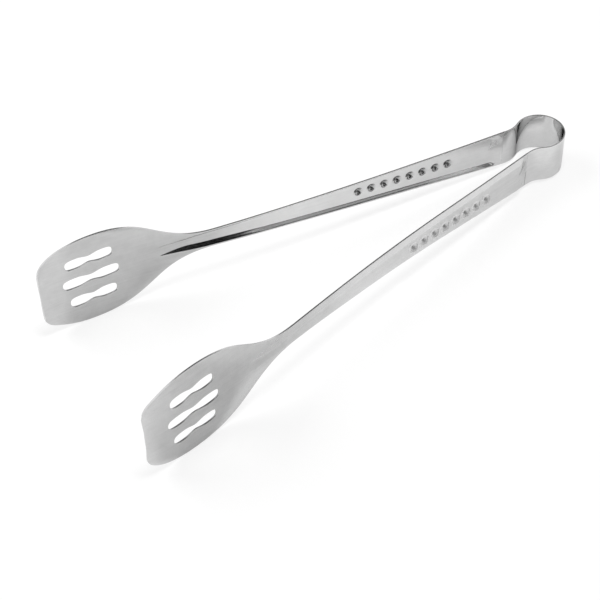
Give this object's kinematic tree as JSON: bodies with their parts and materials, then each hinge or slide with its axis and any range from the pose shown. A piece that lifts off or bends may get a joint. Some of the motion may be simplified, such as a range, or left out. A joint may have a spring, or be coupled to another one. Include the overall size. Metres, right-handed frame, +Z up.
{
  "type": "salad tongs",
  "caption": "Sprung serving tongs of stainless sheet: a bent spring bow joins two stamped arms with pressed handles, grip dimples and broad blades with waisted drain slots.",
  "frame": {"origin": "centre of the bounding box at its bottom, on the surface that the tongs lie on", "axes": "+X from the spring bow towards the blades' tips, +Y across from the right arm to the left arm, +Z up from the surface"},
  "size_m": [0.2934, 0.111, 0.0585],
  "materials": {
    "arm_steel": "satin, finely brushed",
    "bow_steel": "satin, a little brighter than the arms"
  },
  "bodies": {
    "bow": {"spring_bow": "bow_steel"},
    "left": {"arm_left": "arm_steel"},
    "right": {"arm_right": "arm_steel"}
  },
  "joints": [
    {"name": "left_squeeze", "type": "hinge", "parent": "bow", "child": "left", "pos_m": [-0.13212, 0, 0.01274], "axis": [0.076, 0, -0.9971], "range_deg": [-3, 10.85], "stiffness_Nm_per_rad": 6.3, "deforming": ["spring_bow"]},
    {"name": "right_squeeze", "type": "hinge", "parent": "bow", "child": "right", "pos_m": [-0.13212, 0, 0.01274], "axis": [-0.076, 0, 0.9971], "range_deg": [-3, 10.85], "stiffness_Nm_per_rad": 6.3, "deforming": ["spring_bow"]}
  ],
  "couplings": [
    {"joint": "right_squeeze", "follows": "left_squeeze", "ratio": 1}
  ]
}
